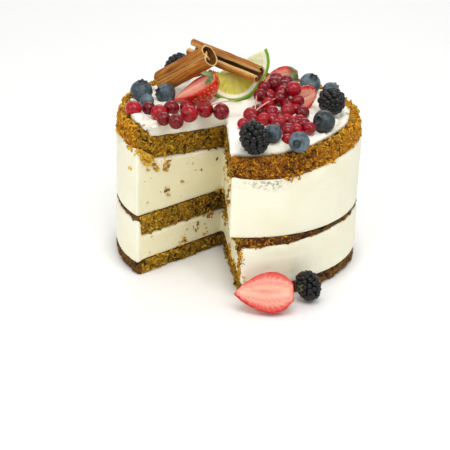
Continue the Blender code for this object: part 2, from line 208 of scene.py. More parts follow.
def fine_copy(node, voxel, smoothing=0):
    """An even, fine mesh over one solid of the frame, its edges eased."""
    mesh = SOLIDS[node].data.copy()
    weld = bmesh.new()
    weld.from_mesh(mesh)
    bmesh.ops.remove_doubles(weld, verts=weld.verts, dist=1e-6)
    weld.to_mesh(mesh)
    weld.free()
    holder = bpy.data.objects.new("holder", mesh)
    bpy.context.collection.objects.link(holder)
    remesh = holder.modifiers.new("even", "REMESH")
    remesh.mode = "VOXEL"
    remesh.voxel_size = voxel
    if smoothing:
        ease = holder.modifiers.new("ease", "SMOOTH")
        ease.factor = 0.5
        ease.iterations = smoothing
    return plain_mesh(holder)


def new_tree(name, inputs):
    """A geometry tree with one named input for each size, and its two end nodes."""
    tree = bpy.data.node_groups.new(name, "GeometryNodeTree")
    tree.interface.new_socket("Bed", in_out="INPUT", socket_type="NodeSocketGeometry")
    for label, kind in inputs:
        tree.interface.new_socket(label, in_out="INPUT", socket_type="NodeSocket" + kind)
    tree.interface.new_socket("Grown", in_out="OUTPUT", socket_type="NodeSocketGeometry")
    return tree, tree.nodes.new("NodeGroupInput").outputs, tree.nodes.new("NodeGroupOutput").inputs


def toned_and_real(tree, instances, seed):
    """Give each instance one random tone to keep, then make them all real mesh."""
    tone = add_node(tree, "FunctionNodeRandomValue", {"data_type": "FLOAT"}, {2: 0.0, 3: 1.0, "Seed": seed})
    toned = add_node(tree, "GeometryNodeStoreNamedAttribute", {"data_type": "FLOAT", "domain": "INSTANCE"},
                     {"Geometry": instances, "Name": "tone", "Value": tone})
    return add_node(tree, "GeometryNodeRealizeInstances", {}, {0: toned})


def ended_tree(tree, out, shape, finish):
    """End a geometry tree: its shape gets its finish and is handed out."""
    dressed = add_node(tree, "GeometryNodeSetMaterial", {}, {"Geometry": shape, "Material": finish})
    fill(tree, out["Grown"], dressed)
    return tree


def drop_marks(mesh):
    """Take a bed's marks off what grew on it."""
    for spare in [layer.name for layer in mesh.attributes if layer.name in SCATTER_MARKS]:
        mesh.attributes.remove(mesh.attributes[spare])


def grow(tree, bed, values):
    """Run a geometry tree on a bed mesh and return what it grows as a plain mesh."""
    holder = bpy.data.objects.new("holder", bed.copy())
    bpy.context.collection.objects.link(holder)
    modifier = holder.modifiers.new("grow", "NODES")
    modifier.node_group = tree
    for item in tree.interface.items_tree:
        if item.in_out == "INPUT" and item.name in values:
            modifier[item.identifier] = values[item.name]
    return plain_mesh(holder)


def new_material(name, *marks):
    """An empty Principled material: its tree, the piece's own coordinates, and the marks it reads."""
    material = bpy.data.materials.new(name)
    material.use_nodes = True
    tree = material.node_tree
    place = add_node(tree, "ShaderNodeTexCoord").outputs["Object"]
    return (material, tree, place,
            *(add_node(tree, "ShaderNodeAttribute", {"attribute_name": key}).outputs["Fac"] for key in marks))


def finished(material, inputs):
    """Fill the sockets of a material's shader, and hand the material back."""
    tree = material.node_tree
    for key, value in inputs.items():
        fill(tree, tree.nodes["Principled BSDF"].inputs[key], value)
    return material


# ---------------------------------------------------------------- finishes

def painted_side_light(tree, place, front, side):
    """Painted light: the sides painted paler than the front, a slow change from x = 0 outwards."""
    across = add_node(tree, "ShaderNodeSeparateXYZ", {}, {"Vector": place})
    away = add_node(tree, "ShaderNodeMath", {"operation": "ABSOLUTE"}, {0: across})
    return add_node(tree, "ShaderNodeMapRange", {"interpolation_type": "SMOOTHSTEP"},
                    {0: away, 1: 30 * MM, 2: 76 * MM, 3: front, 4: side})


def carrot_sponge(name, crust, crumb, gold, dark, pale):
    """Baked sponge, torn open: dry crumb, so matt, golden on its ridges, with painted shade dark brown in its
    pores and hollows.
    """
    material, tree, place, pit, cut = new_material(name, "pit", "cut")
    patches = add_node(tree, "ShaderNodeTexNoise", {},
                       {"Vector": place, "Scale": 1 / (7 * MM), "Detail": 3.0})
    flecks = add_node(tree, "ShaderNodeTexNoise", {},
                      {"Vector": place, "Scale": 1 / (1.6 * MM), "Detail": 4.0})
    skin = add_node(tree, "ShaderNodeValToRGB",
                    {"stops": ((0.35, crust[0]), (0.5, crust[1]), (0.66, crust[2]))},
                    {"Fac": flecks})
    open_crumb = add_node(tree, "ShaderNodeValToRGB",
                          {"stops": ((0.34, crumb[0]), (0.5, crumb[1]), (0.64, gold))},
                          {"Fac": flecks})
    face = add_node(tree, "ShaderNodeMix", {"data_type": "RGBA"}, {0: cut, 6: skin, 7: open_crumb})
    patch = add_node(tree, "ShaderNodeMapRange", {}, {0: patches, 1: 0.35, 2: 0.65, 3: 0.0, 4: 0.45})
    warm = add_node(tree, "ShaderNodeMix", {"data_type": "RGBA", "blend_type": "MULTIPLY"},
                    {0: patch, 6: face, 7: colour("#c9a070")})
    # Painted light: towards the sides the sponge is mixed towards gold, paler than the front.
    side = add_node(tree, "ShaderNodeMix", {"data_type": "RGBA"},
                    {0: painted_side_light(tree, place, 0.0, pale), 6: warm, 7: colour(gold)})
    # Painted shade: the pores and hollows of the crumb are mixed towards a dark shade colour.
    with_pore_shade = add_node(tree, "ShaderNodeMix", {"data_type": "RGBA"}, {0: pit, 6: side, 7: colour(dark)})
    bump = add_node(tree, "ShaderNodeBump", {}, {"Strength": 0.6, "Distance": 0.5 * MM,
                                                 "Height": flecks})
    return finished(material, {"Base Color": with_pore_shade, "Roughness": 0.85, "Specular IOR Level": 0.25,
                               "Subsurface Weight": 0.1, "Subsurface Radius": (1.0, 0.6, 0.3),
                               "Subsurface Scale": 1.5 * MM, "Normal": bump})


def sponge_crumbs(name, stops):
    """Loose shreds of the same sponge: each keeps one tone, from dark crust to gold."""
    material, tree, place, tone = new_material(name, "tone")
    flecks = add_node(tree, "ShaderNodeTexNoise", {},
                      {"Vector": place, "Scale": 1 / (1.2 * MM), "Detail": 3.0})
    shade = add_node(tree, "ShaderNodeMapRange", {}, {0: flecks, 1: 0.3, 2: 0.7, 3: -0.12, 4: 0.12})
    speckled = add_node(tree, "ShaderNodeMath", {"operation": "ADD"}, {0: tone, 1: shade})
    # Painted light: the shreds are a little darker at the front and paler towards the sides.
    level = add_node(tree, "ShaderNodeMath", {"operation": "ADD"},
                     {0: speckled, 1: painted_side_light(tree, place, -0.12, 0.3)})
    paint = add_node(tree, "ShaderNodeValToRGB", {"stops": stops}, {"Fac": level})
    bump = add_node(tree, "ShaderNodeBump", {}, {"Strength": 0.4, "Distance": 0.3 * MM,
                                                 "Height": flecks})
    return finished(material, {"Base Color": paint, "Roughness": 0.8,
                               "Specular IOR Level": 0.3, "Normal": bump})


def cream_cheese_frosting(name, face, shade, smear):
    """Frosting spread with a spatula: fat-rich and smooth, so satin with faint drag lines."""
    material, tree, place, dirt, sliced = new_material(name, "smear", "sliced")
    stretch = add_node(tree, "ShaderNodeMapping", {}, {"Vector": place, "Scale": (1.0, 1.0, 9.0)})
    drags = add_node(tree, "ShaderNodeTexNoise", {}, {"Vector": stretch, "Scale": 1 / (16 * MM),
                                                      "Detail": 5.0, "Roughness": 0.6})
    clouds = add_node(tree, "ShaderNodeTexNoise", {},
                      {"Vector": place, "Scale": 1 / (22 * MM), "Detail": 2.0})
    tint = add_node(tree, "ShaderNodeValToRGB", {"stops": ((0.35, shade), (0.62, face))},
                    {"Fac": clouds})
    crumbs = add_node(tree, "ShaderNodeTexNoise", {},
                      {"Vector": place, "Scale": 1 / (2.4 * MM), "Detail": 5.0, "Roughness": 0.7})
    spots = add_node(tree, "ShaderNodeMapRange", {}, {0: crumbs, 1: 0.44, 2: 0.62, 3: 0.0, 4: 1.0})
    dirty = add_node(tree, "ShaderNodeMath", {"operation": "MULTIPLY", "use_clamp": True},
                     {0: dirt, 1: spots})
    # Painted shade: the cut faces of the cream are a little darker and yellower than its wall.
    with_cut_shade = add_node(tree, "ShaderNodeMix", {"data_type": "RGBA"},
                      {0: sliced, 6: tint, 7: colour("#f4eecb")})
    paint = add_node(tree, "ShaderNodeMix", {"data_type": "RGBA"},
                     {0: dirty, 6: with_cut_shade, 7: colour(smear)})
    gloss = add_node(tree, "ShaderNodeMapRange", {}, {0: clouds, 1: 0.3, 2: 0.7, 3: 0.42, 4: 0.6})
    bump = add_node(tree, "ShaderNodeBump", {}, {"Strength": 0.25, "Distance": 0.4 * MM,
                                                 "Height": drags})
    return finished(material, {"Base Color": paint, "Roughness": gloss, "IOR": 1.45,
                               "Subsurface Weight": 0.2, "Subsurface Radius": (1.0, 0.8, 0.5),
                               "Subsurface Scale": 3 * MM, "Specular IOR Level": 0.35,
                               "Normal": bump})


def blueberry_skin():
    """Ripe blueberry: near-black blue under a dusty wax bloom, rubbed off in scuffs."""
    material, tree, place, crown, bare = new_material("blueberry_skin", "crown", "bare")
    cloud = add_node(tree, "ShaderNodeTexNoise", {}, {"Vector": place, "Scale": 1 / (5 * MM), "Detail": 5.0,
                                                      "Roughness": 0.65})
    scuff = add_node(tree, "ShaderNodeTexNoise", {},
                     {"Vector": place, "Scale": 1 / (1.1 * MM), "Detail": 3.0})
    mixed = add_node(tree, "ShaderNodeMath", {"operation": "MULTIPLY_ADD"},
                     {0: scuff, 1: 0.3, 2: cloud})
    # Less bloom where this mark is high; on one berry the extra darkness is painted shade.
    less = add_node(tree, "ShaderNodeMath", {"operation": "MULTIPLY_ADD"}, {0: bare, 1: -0.35, 2: mixed})
    wax = add_node(tree, "ShaderNodeValToRGB",
                   {"stops": ((0.1, "#1c211d"), (0.4, "#38464d"), (0.66, "#667881"), (0.95, "#97a7ae"))},
                   {"Fac": less})
    cup = add_node(tree, "ShaderNodeMix", {"data_type": "RGBA"},
                   {0: crown, 6: wax, 7: colour("#20242a")})
    rough = add_node(tree, "ShaderNodeMapRange", {}, {0: less, 1: 0.3, 2: 0.9, 3: 0.34, 4: 0.7})
    bump = add_node(tree, "ShaderNodeBump", {}, {"Strength": 0.15, "Distance": 0.2 * MM,
                                                 "Height": scuff})
    return finished(material, {"Base Color": cup, "Roughness": rough, "IOR": 1.45,
                               "Normal": bump})


def redcurrant_skin():
    """Ripe redcurrant: a taut clear skin over crimson juice, with pale veins from end to end."""
    material, tree, place, turn, level, tone = new_material("redcurrant_skin", "turn", "level", "tone")
    waves = add_node(tree, "ShaderNodeMath", {"operation": "SINE"},
                     {0: add_node(tree, "ShaderNodeMath", {"operation": "MULTIPLY"}, {0: turn, 1: 12.0})})
    vein = add_node(tree, "ShaderNodeMapRange", {}, {0: waves, 1: 0.72, 2: 1.0, 3: 0.0, 4: 0.1})
    fade = add_node(tree, "ShaderNodeMath", {"operation": "MULTIPLY"}, {0: vein, 1: level})
    body = add_node(tree, "ShaderNodeValToRGB",
                    {"stops": ((0.0, "#5a020c"), (0.5, "#8a0314"), (1.0, "#ae0a1e"))}, {"Fac": tone})
    paint = add_node(tree, "ShaderNodeMix", {"data_type": "RGBA"},
                     {0: fade, 6: body, 7: colour("#e07a86")})
    return finished(material, {"Base Color": paint, "Roughness": 0.2, "IOR": 1.36, "Coat Weight": 0.2,
                               "Coat Roughness": 0.06, "Subsurface Weight": 0.15,
                               "Subsurface Radius": (1.0, 0.2, 0.2), "Subsurface Scale": 2.5 * MM})


def bramble_skin():
    """Ripe bramble: each drupelet a taut, wet, blue-black bead."""
    material, tree, place, tone = new_material("bramble_skin", "tone")
    haze = add_node(tree, "ShaderNodeTexNoise", {},
                    {"Vector": place, "Scale": 1 / (2 * MM), "Detail": 3.0})
    body = add_node(tree, "ShaderNodeValToRGB",
                    {"stops": ((0.0, "#030303"), (0.7, "#080808"), (1.0, "#140f11"))}, {"Fac": tone})
    rough = add_node(tree, "ShaderNodeMapRange", {}, {0: haze, 1: 0.3, 2: 0.7, 3: 0.2, 4: 0.42})
    return finished(material, {"Base Color": body, "Roughness": rough, "IOR": 1.36,
                               "Coat Weight": 0.15, "Coat Roughness": 0.12})


def strawberry_flesh():
    """A halved strawberry: wet red skin, and on the cut a pale core veined out to a red rim."""
    material, tree, place, cut, edge, vein = new_material("strawberry_flesh", "cut", "edge", "vein")
    mottle = add_node(tree, "ShaderNodeTexNoise", {},
                      {"Vector": place, "Scale": 1 / (3 * MM), "Detail": 4.0})
    spread = add_node(tree, "ShaderNodeMath", {"operation": "MULTIPLY_ADD"},
                      {0: mottle, 1: 0.16, 2: edge})
    veined = add_node(tree, "ShaderNodeMath", {"operation": "MULTIPLY_ADD"},
                      {0: vein, 1: 0.05, 2: spread})
    flesh = add_node(tree, "ShaderNodeValToRGB",
                     {"stops": ((0.05, "#f0bca2"), (0.28, "#e88a76"), (0.4, "#eaa08a"), (0.64, "#dd5c4a"),
                                (0.86, "#cf3020"), (1.0, "#b0160e"))}, {"Fac": veined})
    skin = add_node(tree, "ShaderNodeValToRGB",
                    {"stops": ((0.3, "#b3190f"), (0.55, "#d62a1a"), (0.8, "#e8543a"))},
                    {"Fac": mottle})
    paint = add_node(tree, "ShaderNodeMix", {"data_type": "RGBA"},
                     {0: cut, 6: skin, 7: flesh})
    rough = add_node(tree, "ShaderNodeMapRange", {}, {0: mottle, 1: 0.3, 2: 0.7, 3: 0.22, 4: 0.42})
    return finished(material, {"Base Color": paint, "Roughness": rough, "IOR": 1.42,
                               "Subsurface Weight": 0.15, "Subsurface Radius": (1.0, 0.35, 0.25),
                               "Subsurface Scale": 2 * MM})


def simple_finish(name, low, high, size, roughness, bump_height=0.1 * MM):
    """A plain natural surface: two close tones in soft patches of one size, faintly uneven."""
    material, tree, place = new_material(name)
    patches = add_node(tree, "ShaderNodeTexNoise", {},
                       {"Vector": place, "Scale": 1 / size, "Detail": 4.0})
    paint = add_node(tree, "ShaderNodeValToRGB", {"stops": ((0.35, low), (0.65, high))},
                     {"Fac": patches})
    bump = add_node(tree, "ShaderNodeBump", {}, {"Strength": 0.4, "Distance": bump_height,
                                                 "Height": patches})
    return finished(material, {"Base Color": paint, "Roughness": roughness,
                               "Normal": bump})


def lime_slice_finish(name, pulp_low, pulp_high):
    """A cut lime: wet juice sacs in clear segments, a matt white pith and an oily green rind."""
    material, tree, place, pith, rind, sacs = new_material(name, "pith", "rind", "sacs")
    pulp = add_node(tree, "ShaderNodeValToRGB", {"stops": ((0.0, pulp_low), (1.0, pulp_high))},
                    {"Fac": sacs})
    inner = add_node(tree, "ShaderNodeMix", {"data_type": "RGBA"},
                     {0: pith, 6: pulp, 7: colour("#fdfae2")})
    peel = add_node(tree, "ShaderNodeMix", {"data_type": "RGBA"},
                    {0: rind, 6: inner, 7: colour("#78a818")})
    rough = add_node(tree, "ShaderNodeMapRange", {}, {0: pith, 3: 0.2, 4: 0.5})
    return finished(material, {"Base Color": peel, "Roughness": rough, "IOR": 1.4,
                               "Subsurface Weight": 0.2, "Subsurface Radius": (0.8, 1.0, 0.3),
                               "Subsurface Scale": 3 * MM})


def cinnamon_bark():
    """Dried cinnamon bark: fibres run along the quill, tan outside, pale on the torn edges."""
    material, tree, place, fibre, inside, edge = new_material("cinnamon_bark", "fibre", "inside", "edge")
    patches = add_node(tree, "ShaderNodeTexNoise", {},
                       {"Vector": place, "Scale": 1 / (6 * MM), "Detail": 4.0})
    blend = add_node(tree, "ShaderNodeMath", {"operation": "MULTIPLY_ADD"},
                     {0: patches, 1: 0.5, 2: fibre})
    outer = add_node(tree, "ShaderNodeValToRGB",
                     {"stops": ((0.25, "#6f3a08"), (0.5, "#9c5a16"), (0.75, "#b87a2c"), (1.0, "#cf9c50"))},
                     {"Fac": blend})
    inner = add_node(tree, "ShaderNodeMix", {"data_type": "RGBA"},
                     {0: inside, 6: outer, 7: colour("#6e4318")})
    torn = add_node(tree, "ShaderNodeMix", {"data_type": "RGBA"},
                    {0: edge, 6: inner, 7: colour("#d8b67c")})
    bump = add_node(tree, "ShaderNodeBump", {}, {"Strength": 0.5, "Distance": 0.3 * MM, "Height": blend})
    return finished(material, {"Base Color": torn, "Roughness": 0.72, "Specular IOR Level": 0.3,
                               "Normal": bump})


# ---------------------------------------------------------------- sponge and cream layers

def true_round(points):
    """Push the flats of the turned layers out to the true circle through their corners."""
    half = math.pi / SECTORS
    turn = np.arctan2(points[:, 1], points[:, 0]) % (2.0 * half) - half
    fit = np.cos(turn) / math.cos(half)
    reach = soft_step(from_axis(points), 0.5 * CAKE_RADIUS, CAKE_RADIUS)
    points[:, :2] *= (1.0 + (fit - 1.0) * reach)[:, None]
    return points


def layer_mesh(node, voxel, smoothing):
    """A fine, truly round copy of one turned layer."""
    mesh = fine_copy(node, voxel, smoothing)
    move_points(mesh, true_round(points_of(mesh)))
    return mesh


def edge_rag(points, normals, reach):
    """How far the torn edges of a sponge's outer band hang down or stand up."""
    outside = soft_step(reach, CAKE_RADIUS - 3.5 * MM, CAKE_RADIUS - 1.5 * MM)
    under = outside * soft_step(-normals[:, 2], -0.1, 0.7)
    over = outside * soft_step(normals[:, 2], 0.1, 0.8)
    tatters = grain(points * (1.0, 1.0, 0.2), 4.0 * MM, SEED + 4) + 0.6 * grain(points, 1.9 * MM, SEED + 5)
    return over * 1.1 * tatters - under * (0.5 + 4.0 * np.maximum(tatters, 0.0))


def sponge_layer(name, node, voxel, rough, material):
    """One sponge: its skin pushed in and out into lumps, pores and torn edges."""
    mesh = layer_mesh(node, voxel, 1)
    points, normals = points_of(mesh), points_of(mesh, "normal")
    reach = from_axis(points)
    upright = 1.0 - soft_step(np.abs(normals[:, 2]), 0.75, 0.95)
    band = soft_step(reach, CAKE_RADIUS - 9 * MM, CAKE_RADIUS - 5 * MM)
    shown = np.maximum(upright, band)
    cut = upright * (1.0 - soft_step(reach, CAKE_RADIUS - 4.5 * MM, CAKE_RADIUS - 2.5 * MM))
    curls = 1.0 - 2.2 * np.abs(grain(points, 2.6 * MM, SEED))
    lumps = grain(points, 5.0 * MM, SEED + 1)
    fine = grain(points, 1.3 * MM, SEED + 2)
    pores = soft_step(grain(points, 2.4 * MM, SEED + 3), 0.18, 0.5)
    coarse = 1.0 - 2.0 * np.abs(grain(points, 6.5 * MM, SEED + 17))
    lift = 0.5 * curls + 0.7 * lumps + 0.55 * coarse + 0.35 * fine - 1.2 * pores - 0.3
    moved = points + normals * (lift * shown * rough)[:, None]
    moved[:, 2] += edge_rag(points, normals, reach) * rough
    moved[:, 2] = np.maximum(moved[:, 2], 0.0)
    move_points(mesh, moved)
    # Painted shade: the lower sponges are painted darker towards the apex of the cut, near the axis.
    apex_shade = 0.0 if node == "sponge_top" else 0.55 * (1.0 - soft_step(reach, 14 * MM, 46 * MM))
    # Painted shade: the pores and the low places of the crumb's relief are marked to be painted dark.
    hollow_shade = pores * 0.85 + 0.35 * soft_step(-curls, 0.0, 0.8) + 0.3 * soft_step(-coarse, 0.2, 0.8) + apex_shade
    mark(mesh, "pit", np.clip(hollow_shade, 0.0, 1.0) * shown)
    mark(mesh, "cut", cut)
    mark(mesh, "shown", shown * (0.6 + 0.4 * soft_step(lumps, -0.3, 0.3)))
    return new_piece(name, mesh, material, (node,))


def shred_tree():
    """Short curled shreds strewn over a bed, thickest where the mark it is given is high."""
    tree, feed, out = new_tree("sponge_shreds", (("Density", "Float"), ("Smallest", "Float"), ("Largest", "Float"),
                                                 ("Warp", "Float"), ("Seed", "Int"), ("Mark", "String"),
                                                 ("Finish", "Material")))
    shown = add_node(tree, "GeometryNodeInputNamedAttribute", {"data_type": "FLOAT"},
                     {"Name": feed["Mark"]})
    density = add_node(tree, "ShaderNodeMath", {"operation": "MULTIPLY"},
                       {0: feed["Density"], 1: shown})
    strewn = add_node(tree, "GeometryNodeDistributePointsOnFaces", {},
                      {"Mesh": feed["Bed"], "Density": density, "Seed": feed["Seed"]})
    arc = add_node(tree, "GeometryNodeCurveArc", {}, {"Resolution": 4, "Radius": 1.0, "Sweep Angle": 2.0})
    ring = add_node(tree, "GeometryNodeCurvePrimitiveCircle", {}, {"Resolution": 4, "Radius": 0.36})
    shred = add_node(tree, "GeometryNodeCurveToMesh", {},
                     {"Curve": arc, "Profile Curve": ring, "Fill Caps": True})
    size = add_node(tree, "FunctionNodeRandomValue", {"data_type": "FLOAT"},
                    {2: feed["Smallest"], 3: feed["Largest"], "Seed": feed["Seed"]})
    tilt = add_node(tree, "FunctionNodeRandomValue", {"data_type": "FLOAT_VECTOR"},
                    {0: (-0.7, -0.7, 0.0), 1: (0.7, 0.7, 6.28), "Seed": feed["Seed"]})
    spin = add_node(tree, "FunctionNodeEulerToRotation", {}, {"Euler": tilt})
    turned = add_node(tree, "FunctionNodeRotateRotation", {"rotation_space": "LOCAL"},
                      {"Rotation": strewn.outputs["Rotation"], "Rotate By": spin})
    set_down = add_node(tree, "GeometryNodeInstanceOnPoints", {},
                        {"Points": strewn, "Instance": shred,
                         "Rotation": turned, "Scale": size})
    real = toned_and_real(tree, set_down, 3)
    noise = add_node(tree, "ShaderNodeTexNoise", {}, {"Scale": 1 / (2.2 * MM), "Detail": 1.0})
    centred = add_node(tree, "ShaderNodeVectorMath", {"operation": "SUBTRACT"},
                       {0: noise.outputs["Color"], 1: (0.5, 0.5, 0.5)})
    shift = add_node(tree, "ShaderNodeVectorMath", {"operation": "SCALE"},
                     {0: centred, "Scale": feed["Warp"]})
    warped = add_node(tree, "GeometryNodeSetPosition", {}, {"Geometry": real, "Offset": shift})
    return ended_tree(tree, out, warped, feed["Finish"])


def wall_edges(points, azimuth, on_wall, step):
    """For every point, the lowest and highest wall point in its direction; step is in degrees."""
    slot = ((azimuth + 180.0) // step).astype(int)
    low = np.full(360 // step + 1, 1.0)
    high = np.zeros(360 // step + 1)
    np.minimum.at(low, slot[on_wall], points[on_wall, 2])
    np.maximum.at(high, slot[on_wall], points[on_wall, 2])
    return low[slot], high[slot]


def split_shown(mesh):
    """Part a sponge's shown crumb into cut faces, outer band, the band's torn edges and one corner."""
    shown = np.empty(len(mesh.vertices))
    cut = np.empty(len(mesh.vertices))
    mesh.attributes["shown"].data.foreach_get("value", shown)
    mesh.attributes["cut"].data.foreach_get("value", cut)
    mark(mesh, "face", shown * cut)
    band = shown * (1.0 - cut)
    mark(mesh, "band", band)
    points = points_of(mesh)
    azimuth = azimuth_of(points)
    low, high = wall_edges(points, azimuth, from_axis(points) > CAKE_RADIUS - 4.0 * MM, 4)
    near_low = np.exp(-((points[:, 2] - low) / (1.7 * MM)) ** 2)
    near_high = np.exp(-((points[:, 2] - high) / (1.7 * MM)) ** 2)
    patchy = soft_step(grain(points * (1.0, 1.0, 0.2), 6 * MM, SEED + 18), -0.3, 0.4)
    mark(mesh, "tatter", band * (near_low + 0.6 * near_high) * patchy)
    mark(mesh, "corner", band * np.exp(-((azimuth + 86.0) / 11.0) ** 2))


def strew(name, tree, bed, finish, density, smallest, largest, seed, where):
    """Shreds over a bed where one of its marks is high: density in pieces for each mm2, sizes in mm."""
    mesh = grow(tree, bed, {"Density": density / (MM * MM), "Smallest": smallest * MM, "Largest": largest * MM,
                            "Warp": WARP, "Seed": seed, "Mark": where, "Finish": finish})
    drop_marks(mesh)
    points = points_of(mesh)
    points[:, 2] = np.maximum(points[:, 2], 0.1 * MM + 0.03 * np.abs(points[:, 2]))
    move_points(mesh, points)
    return new_piece(name, mesh, finish)


def cream_layer(name, node, voxel, material, smear_below=0.0):
    """One spread of frosting: nearly level, with slow waves, drag lines and rare pits."""
    mesh = layer_mesh(node, voxel, 5)
    points, normals = points_of(mesh), points_of(mesh, "normal")
    reach = from_axis(points)
    around = np.arctan2(points[:, 1], points[:, 0]) * CAKE_RADIUS
    wall = np.stack((around * 0.09, points[:, 2] * 1.1, reach * 0.2), axis=1)
    upright = 1.0 - soft_step(np.abs(normals[:, 2]), 0.6, 0.9)
    waves = 0.35 * grain(points, 24 * MM, SEED + 5) + 0.12 * grain(points, 7 * MM, SEED + 6)
    drags = 0.16 * grain(wall, 2.2 * MM, SEED + 7)
    pits = soft_step(grain(points, 3.2 * MM, SEED + 8), 0.72, 0.9)
    lift = (waves + drags - 0.45 * pits) * MM
    move_points(mesh, points + normals * (lift * upright)[:, None])
    azimuth = azimuth_of(points)
    on_wall = reach > CAKE_RADIUS - 2.5 * MM
    lip = wall_edges(points, azimuth, on_wall, 6)[1]
    near_top = np.zeros(len(points))
    if smear_below:
        near_top = on_wall * soft_step(points[:, 2] - lip, -smear_below, -1.0 * MM)
    patch = (np.exp(-((azimuth + 77.0) / 9.0) ** 2)
             + 0.35 * soft_step(grain(points, 15 * MM, SEED + 9), 0.05, 0.5))
    mark(mesh, "smear", near_top * patch * upright)
    # Painted shade on the cut faces of the cream, inside its outer wall.
    inner = 1.0 - soft_step(reach, CAKE_RADIUS - 4.0 * MM, CAKE_RADIUS - 1.5 * MM)
    mark(mesh, "sliced", upright * inner)
    mark(mesh, "crumbs", crumb_spill(points, reach) * upright)
    return new_piece(name, mesh, material, (node,))


def crumb_spill(points, reach):
    """Where crumbs fell on the cut cream: thick below the broken corner, sparse elsewhere."""
    azimuth = azimuth_of(points)
    height = points[:, 2] / MM
    inside = 1.0 - soft_step(reach, CAKE_RADIUS - 3.5 * MM, CAKE_RADIUS - 2.0 * MM)
    corner = (np.exp(-((azimuth + 143.0) / 7.0) ** 2) * soft_step(reach, 50 * MM, 62 * MM)
              * (0.1 + 0.9 * inside))
    slope = height - 0.35 * (reach / MM - 65.0)
    below_lid = corner * soft_step(slope, 72.0, 80.0)
    trickle = corner * soft_step(slope, 60.0, 70.0) * soft_step(grain(points, 5 * MM, SEED + 15), 0.2, 0.5)
    low = soft_step(-height, -36.0, -26.0) * inside * soft_step(grain(points, 7 * MM, SEED + 16), 0.1, 0.6)
    right_edge = np.exp(-((azimuth + 88.5) / 2.2) ** 2) * soft_step(-height, -34.0, -28.0)
    right_edge = right_edge * (reach > 70 * MM)
    return np.clip(below_lid + 0.5 * trickle + 0.35 * low + 0.5 * right_edge + 0.004 * inside, 0.0, 1.0)


def cream_on_top(node, material):
    """The top spread: swirled with the back of a spoon and pressed up round each topping."""
    mesh = layer_mesh(node, 1.0 * MM, 3)
    points, normals = points_of(mesh), points_of(mesh, "normal")
    up = soft_step(normals[:, 2], 0.2, 0.6)
    folds = 1.0 - 2.0 * np.abs(grain(points, 13 * MM, SEED + 11))
    peaks = soft_step(grain(points, 7 * MM, SEED + 13), 0.3, 0.75)
    lift = (1.1 * folds + 0.6 * grain(points, 4.5 * MM, SEED + 12) + 2.2 * peaks + 0.9) * MM
    for topping in TOPPINGS:
        low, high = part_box(topping)
        centre = 0.5 * (low + high)
        size = 0.25 * ((high.x - low.x) + (high.y - low.y))
        away = np.hypot(points[:, 0] - centre.x, points[:, 1] - centre.y) / size
        lift += 1.1 * MM * np.exp(-((away - 0.9) / 0.3) ** 2)
    move_points(mesh, points + normals * (lift * up)[:, None])
    mark(mesh, "smear", np.zeros(len(points)))
    rim = soft_step(from_axis(points), CAKE_RADIUS - 13 * MM, CAKE_RADIUS - 7 * MM)
    front = soft_step(-points[:, 1], 35 * MM, 50 * MM)
    patches = soft_step(grain(points, 8 * MM, SEED + 14), 0.1, 0.5)
    mark(mesh, "crumbs", up * rim * (0.08 + 0.7 * front * patches))
    return new_piece("frosting_top", mesh, material, (node,))


# ---------------------------------------------------------------- fruit

def turned_shape(outline, sectors, wobble=None):
    """A closed turned shape round +Z from (radius, height) points between two axis points."""
    rings = outline[1:-1]
    vertices = [(0.0, 0.0, outline[0][1])]
    for index, (radius, height) in enumerate(rings):
        for sector in range(sectors):
            turn = 2.0 * math.pi * sector / sectors
            r, z = (radius, height) if wobble is None else wobble(index, turn, radius, height)
            vertices.append((r * math.cos(turn), r * math.sin(turn), z))
    vertices.append((0.0, 0.0, outline[-1][1]))
    last = len(vertices) - 1
    faces = []
    for sector in range(sectors):
        following = (sector + 1) % sectors
        faces.append((0, 1 + following, 1 + sector))
        for ring in range(len(rings) - 1):
            a = 1 + ring * sectors
            faces.append((a + sector, a + following, a + sectors + following, a + sectors + sector))
        top = 1 + (len(rings) - 1) * sectors
        faces.append((top + sector, top + following, last))
    return np.array(vertices), faces


def facing(direction, spin=0.0):
    """A turn that carries +Z to a direction, after a spin about +Z."""
    turn = Vector(direction).normalized().to_track_quat("Z", "Y")
    return np.array((turn.to_matrix() @ Matrix.Rotation(spin, 3, "Z")))


def join_shapes(parts):
    """One mesh from (points, faces, {mark: values}) parts."""
    vertices = []
    faces = []
    marks = {}
    for points, polygons, notes in parts:
        start = len(vertices)
        vertices.extend(points.tolist())
        faces.extend(tuple(start + i for i in polygon) for polygon in polygons)
        for key, values in notes.items():
            marks.setdefault(key, []).append(np.broadcast_to(values, len(points)))
    mesh = mesh_from(vertices, faces)
    for key, values in marks.items():
        mark(mesh, key, np.concatenate(values))
    return mesh


def middle_and_radius(node):
    """Centre and radius of a round solid."""
    low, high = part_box(node)
    return 0.5 * (low + high), 0.5 * (high.x - low.x)


def numbered(stem):
    """The names of the solids that share a stem, in order."""
    return sorted(name for name in SOLIDS if name.startswith(stem))


